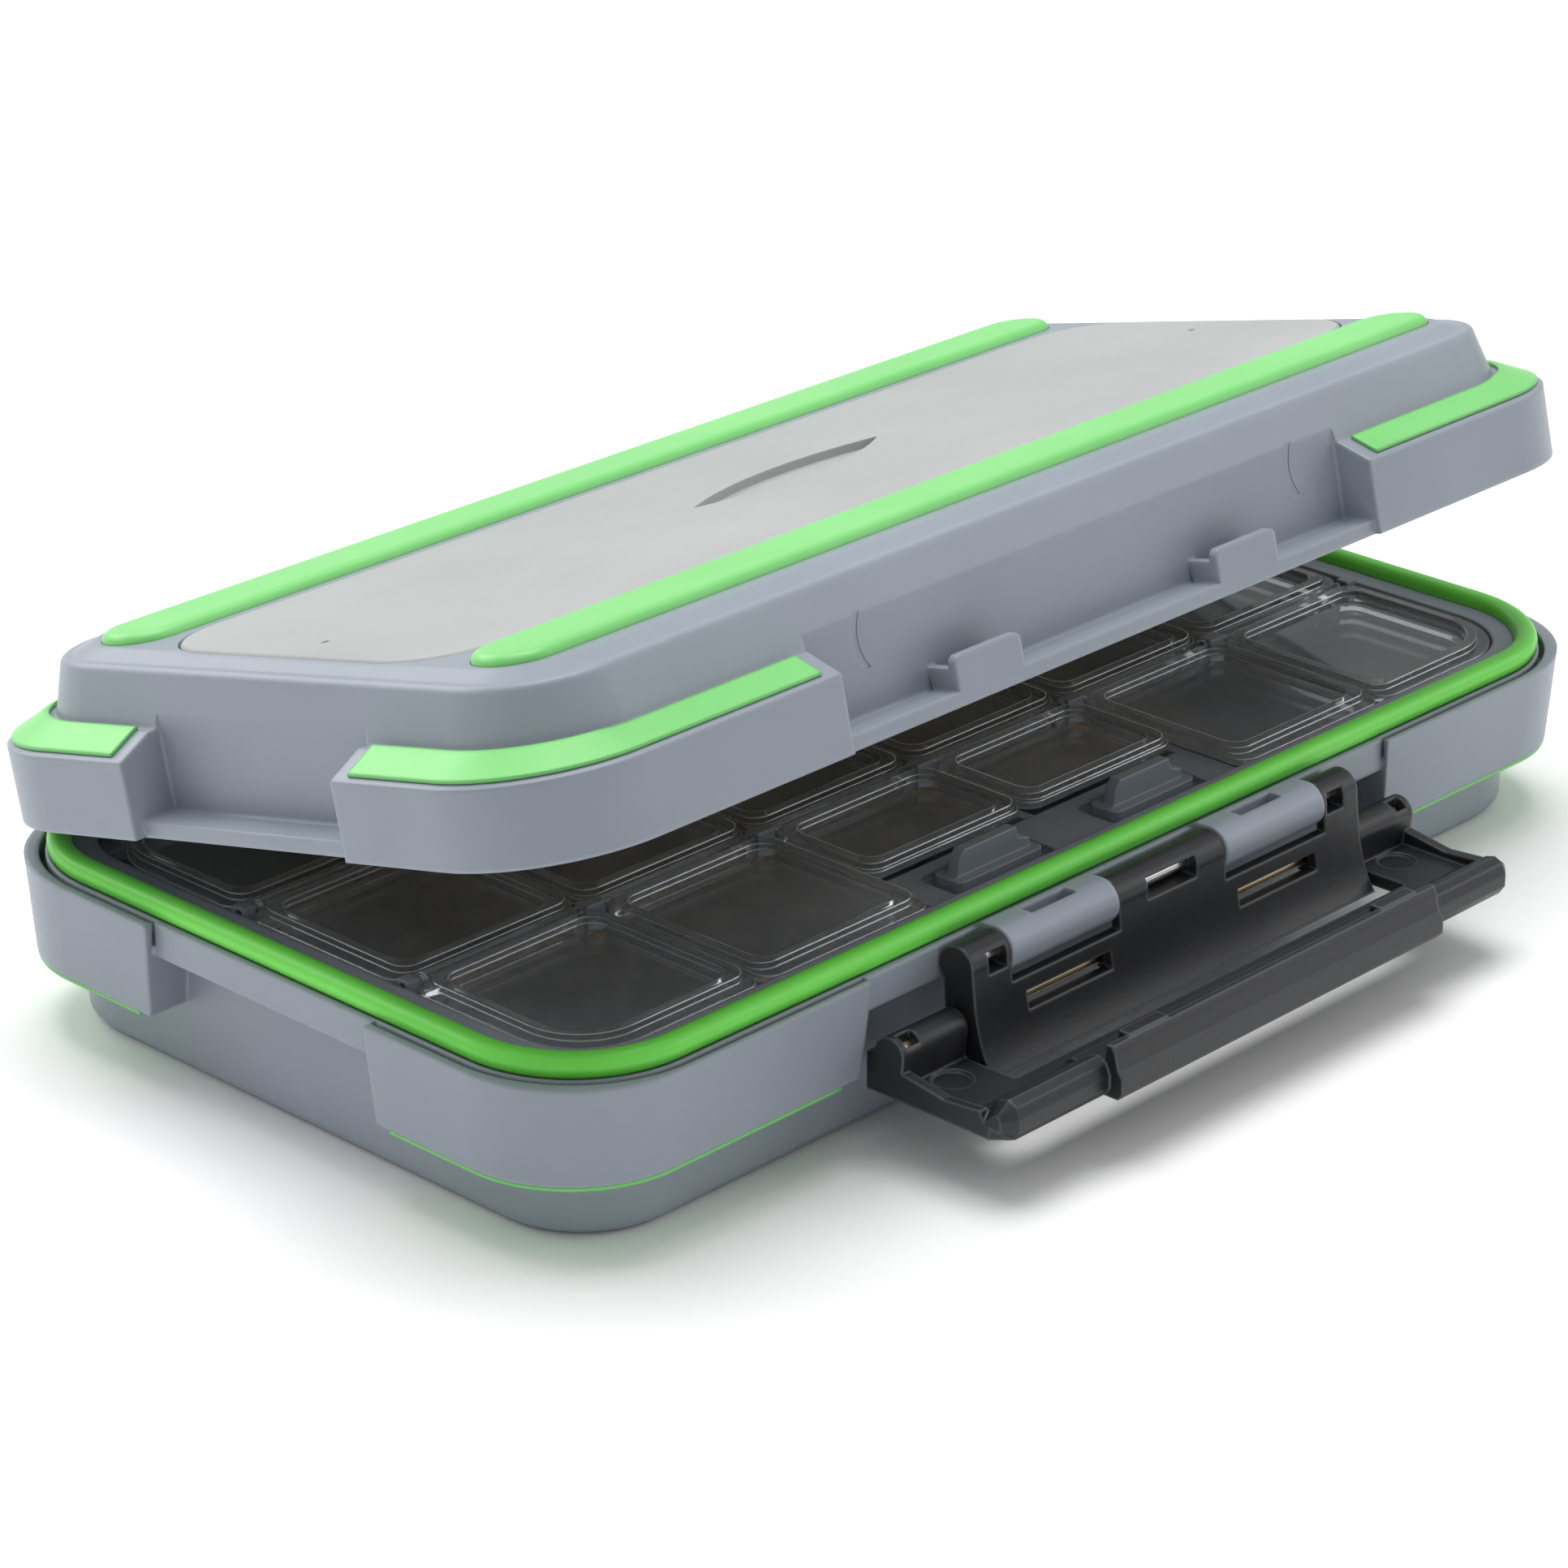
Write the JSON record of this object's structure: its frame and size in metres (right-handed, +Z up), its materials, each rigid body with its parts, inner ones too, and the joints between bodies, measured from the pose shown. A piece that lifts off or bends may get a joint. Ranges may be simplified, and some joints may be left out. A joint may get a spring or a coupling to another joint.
{
  "type": "waterproof fishing tackle box",
  "caption": "Shallow two-shell fishing tackle box with a rim gasket, lidded compartments in the base, a foam pad in the lid, a rear pin hinge and a black two-piece over-centre latch.",
  "frame": {"origin": "centre of the base's flat underside, under the middle of the gasket outline", "axes": "+X along the long side, +Y from the latch towards the hinge, +Z up; the lid stands 13.5 degrees open"},
  "size_m": [0.1946, 0.1339, 0.0666],
  "materials": {
    "shell_grey": "satin moulded blue-grey plastic",
    "tray_grey": "satin moulded grey plastic",
    "panel_grey": "fine textured warm grey plastic",
    "green_rubber": "bright green moulded rubber",
    "black_plastic": "satin black plastic",
    "steel": "plain steel wire pin",
    "brass_pin": "plain brass wire pin",
    "clear_cover": "clear smoky plastic",
    "tan_foam": "slit closed-cell foam"
  },
  "bodies": {
    "base": {"base_shell": "shell_grey", "rim_gasket": "green_rubber", "column_divider_1": "tray_grey", "column_divider_2": "tray_grey", "column_divider_3": "tray_grey", "column_divider_4": "tray_grey", "column_divider_5": "tray_grey", "row_divider_1": "tray_grey", "row_divider_2": "tray_grey", "rear_hinge_rail": "tray_grey", "front_deck": "tray_grey", "scoop_ramp_1": "tray_grey", "scoop_ramp_2": "tray_grey", "base_insert_front_left": "green_rubber", "base_insert_front_right": "green_rubber", "base_insert_rear_left": "green_rubber", "base_insert_rear_right": "green_rubber", "latch_pin_upper": "steel", "hinge_pin": "steel"},
    "lid": {"lid_shell": "shell_grey", "lid_panel": "panel_grey", "lid_strip_front": "green_rubber", "lid_strip_rear": "green_rubber", "lid_foam_pad": "tan_foam", "lid_insert_front_left": "green_rubber", "lid_insert_front_right": "green_rubber", "lid_insert_rear_left": "green_rubber", "lid_insert_rear_right": "green_rubber"},
    "lever": {"latch_lever": "black_plastic", "latch_pin_lower": "brass_pin"},
    "bail": {"latch_bail": "black_plastic"},
    "cover_r1c1": {"cover_row1_col1": "clear_cover"},
    "cover_r1c2": {"cover_row1_col2": "clear_cover"},
    "cover_r1c3": {"cover_row1_col3": "clear_cover"},
    "cover_r1c4": {"cover_row1_col4": "clear_cover"},
    "cover_r1c5": {"cover_row1_col5": "clear_cover"},
    "cover_r1c6": {"cover_row1_col6": "clear_cover"},
    "cover_r2c1": {"cover_row2_col1": "clear_cover"},
    "cover_r2c2": {"cover_row2_col2": "clear_cover"},
    "cover_r2c3": {"cover_row2_col3": "clear_cover"},
    "cover_r2c4": {"cover_row2_col4": "clear_cover"},
    "cover_r2c5": {"cover_row2_col5": "clear_cover"},
    "cover_r2c6": {"cover_row2_col6": "clear_cover"},
    "cover_r3c1": {"cover_row3_col1": "clear_cover"},
    "cover_r3c2": {"cover_row3_col2": "clear_cover"},
    "cover_r3c3": {"cover_row3_col3": "clear_cover"},
    "cover_r3c4": {"cover_row3_col4": "clear_cover"},
    "cover_r3c5": {"cover_row3_col5": "clear_cover"},
    "cover_r3c6": {"cover_row3_col6": "clear_cover"}
  },
  "joints": [
    {"name": "lid_hinge", "type": "hinge", "parent": "base", "child": "lid", "pos_m": [0, 0.055, 0.026], "axis": [-1, 0, 0], "range_deg": [-13.5, 96.5]},
    {"name": "lever_pivot", "type": "hinge", "parent": "base", "child": "lever", "pos_m": [0, -0.055, 0.0202], "axis": [-1, 0, 0], "range_deg": [-18, 80]},
    {"name": "bail_pivot", "type": "hinge", "parent": "lever", "child": "bail", "pos_m": [0, -0.0555, 0.0132], "axis": [1, 0, 0], "range_deg": [-118, 20]},
    {"name": "cover_hinge_r1c1", "type": "hinge", "parent": "base", "child": "cover_r1c1", "pos_m": [-0.07275, -0.0162, 0.0227], "axis": [-1, 0, 0], "range_deg": [0, 85]},
    {"name": "cover_hinge_r1c2", "type": "hinge", "parent": "base", "child": "cover_r1c2", "pos_m": [-0.04365, -0.0162, 0.0227], "axis": [-1, 0, 0], "range_deg": [0, 85]},
    {"name": "cover_hinge_r1c3", "type": "hinge", "parent": "base", "child": "cover_r1c3", "pos_m": [-0.01455, -0.0162, 0.0227], "axis": [-1, 0, 0], "range_deg": [0, 85]},
    {"name": "cover_hinge_r1c4", "type": "hinge", "parent": "base", "child": "cover_r1c4", "pos_m": [0.01455, -0.0162, 0.0227], "axis": [-1, 0, 0], "range_deg": [0, 85]},
    {"name": "cover_hinge_r1c5", "type": "hinge", "parent": "base", "child": "cover_r1c5", "pos_m": [0.04365, -0.0162, 0.0227], "axis": [-1, 0, 0], "range_deg": [0, 85]},
    {"name": "cover_hinge_r1c6", "type": "hinge", "parent": "base", "child": "cover_r1c6", "pos_m": [0.07275, -0.0162, 0.0227], "axis": [-1, 0, 0], "range_deg": [0, 85]},
    {"name": "cover_hinge_r2c1", "type": "hinge", "parent": "base", "child": "cover_r2c1", "pos_m": [-0.07275, 0.0126, 0.0227], "axis": [-1, 0, 0], "range_deg": [0, 66]},
    {"name": "cover_hinge_r2c2", "type": "hinge", "parent": "base", "child": "cover_r2c2", "pos_m": [-0.04365, 0.0126, 0.0227], "axis": [-1, 0, 0], "range_deg": [0, 66]},
    {"name": "cover_hinge_r2c3", "type": "hinge", "parent": "base", "child": "cover_r2c3", "pos_m": [-0.01455, 0.0126, 0.0227], "axis": [-1, 0, 0], "range_deg": [0, 66]},
    {"name": "cover_hinge_r2c4", "type": "hinge", "parent": "base", "child": "cover_r2c4", "pos_m": [0.01455, 0.0126, 0.0227], "axis": [-1, 0, 0], "range_deg": [0, 66]},
    {"name": "cover_hinge_r2c5", "type": "hinge", "parent": "base", "child": "cover_r2c5", "pos_m": [0.04365, 0.0126, 0.0227], "axis": [-1, 0, 0], "range_deg": [0, 66]},
    {"name": "cover_hinge_r2c6", "type": "hinge", "parent": "base", "child": "cover_r2c6", "pos_m": [0.07275, 0.0126, 0.0227], "axis": [-1, 0, 0], "range_deg": [0, 66]},
    {"name": "cover_hinge_r3c1", "type": "hinge", "parent": "base", "child": "cover_r3c1", "pos_m": [-0.07275, 0.0414, 0.0227], "axis": [-1, 0, 0], "range_deg": [0, 42]},
    {"name": "cover_hinge_r3c2", "type": "hinge", "parent": "base", "child": "cover_r3c2", "pos_m": [-0.04365, 0.0414, 0.0227], "axis": [-1, 0, 0], "range_deg": [0, 42]},
    {"name": "cover_hinge_r3c3", "type": "hinge", "parent": "base", "child": "cover_r3c3", "pos_m": [-0.01455, 0.0414, 0.0227], "axis": [-1, 0, 0], "range_deg": [0, 42]},
    {"name": "cover_hinge_r3c4", "type": "hinge", "parent": "base", "child": "cover_r3c4", "pos_m": [0.01455, 0.0414, 0.0227], "axis": [-1, 0, 0], "range_deg": [0, 42]},
    {"name": "cover_hinge_r3c5", "type": "hinge", "parent": "base", "child": "cover_r3c5", "pos_m": [0.04365, 0.0414, 0.0227], "axis": [-1, 0, 0], "range_deg": [0, 42]},
    {"name": "cover_hinge_r3c6", "type": "hinge", "parent": "base", "child": "cover_r3c6", "pos_m": [0.07275, 0.0414, 0.0227], "axis": [-1, 0, 0], "range_deg": [0, 42]}
  ]
}
